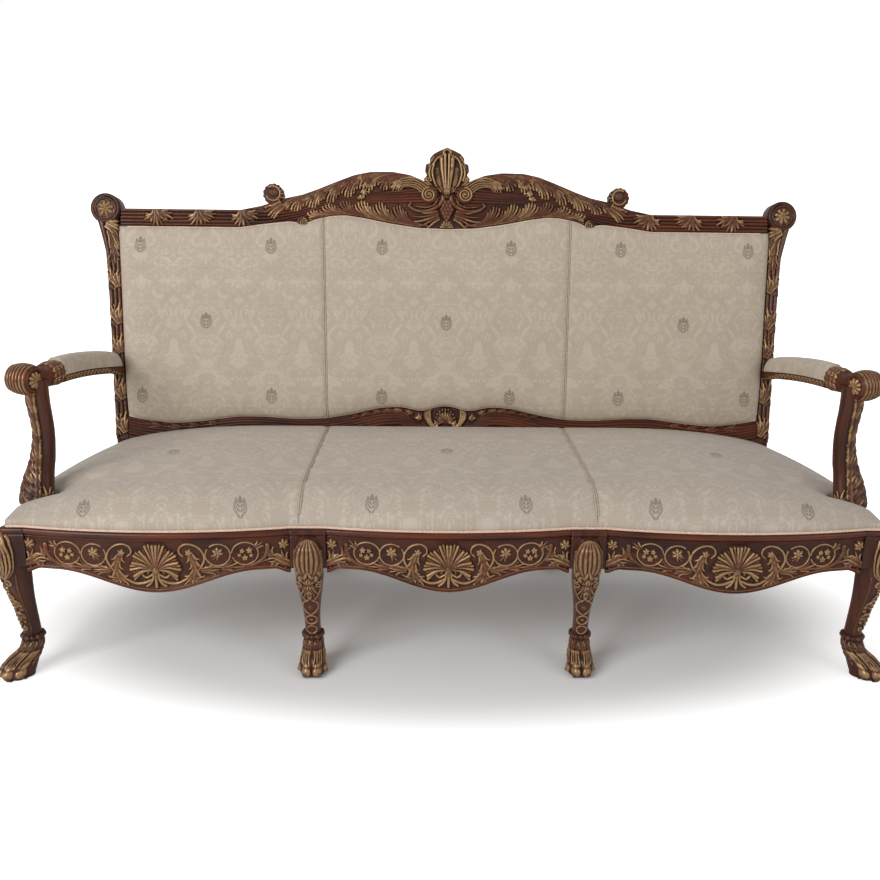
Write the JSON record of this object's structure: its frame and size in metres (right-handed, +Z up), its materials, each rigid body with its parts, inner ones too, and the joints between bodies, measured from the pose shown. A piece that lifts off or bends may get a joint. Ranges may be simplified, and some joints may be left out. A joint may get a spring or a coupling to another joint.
{
  "type": "cabriole sofa",
  "caption": "Carved show-wood cabriole sofa with a serpentine crest, padded open arms, reeded back frame, tight seat and back, and paw feet.",
  "frame": {"origin": "on the floor, at the middle of the plan box", "axes": "+X to the viewer's right along the length, +Y to the back, +Z up; the front faces -Y"},
  "size_m": [2.1384, 0.8404, 1.2082],
  "materials": {
    "show_wood": "dark red-brown polish with worn gold on the carving",
    "frame_wood": "unpolished hardwood",
    "cover_fabric": "cream figured damask",
    "outside_fabric": "cream figured damask over board",
    "webbing": "jute web",
    "screw_steel": "plain steel"
  },
  "bodies": {
    "root": {"front_leg_outer_left": "show_wood", "front_leg_outer_right": "show_wood", "front_leg_inner_left": "show_wood", "front_leg_inner_right": "show_wood", "rear_leg_inner_left": "show_wood", "rear_leg_inner_right": "show_wood", "back_stile_left": "show_wood", "back_stile_right": "show_wood", "front_rail_left": "show_wood", "front_rail_middle": "show_wood", "front_rail_right": "show_wood", "side_rail_left": "show_wood", "side_rail_right": "show_wood", "rear_rail": "frame_wood", "seat_cross_rail_left": "frame_wood", "seat_cross_rail_right": "frame_wood", "corner_blocks": "frame_wood", "block_screws": "screw_steel", "top_rail": "show_wood", "crest_palmette": "show_wood", "lower_back_rail": "show_wood", "back_upright_left": "frame_wood", "back_upright_right": "frame_wood", "arm_left": "show_wood", "arm_right": "show_wood", "arm_post_left": "show_wood", "arm_post_right": "show_wood", "arm_dowels": "frame_wood", "seat_webbing": "webbing", "back_webbing": "webbing", "seat_pad_left": "cover_fabric", "seat_pad_middle": "cover_fabric", "seat_pad_right": "cover_fabric", "back_pad_left": "cover_fabric", "back_pad_middle": "cover_fabric", "back_pad_right": "cover_fabric", "arm_pad_left": "cover_fabric", "arm_pad_right": "cover_fabric", "outside_back": "outside_fabric"}
  },
  "joints": []
}
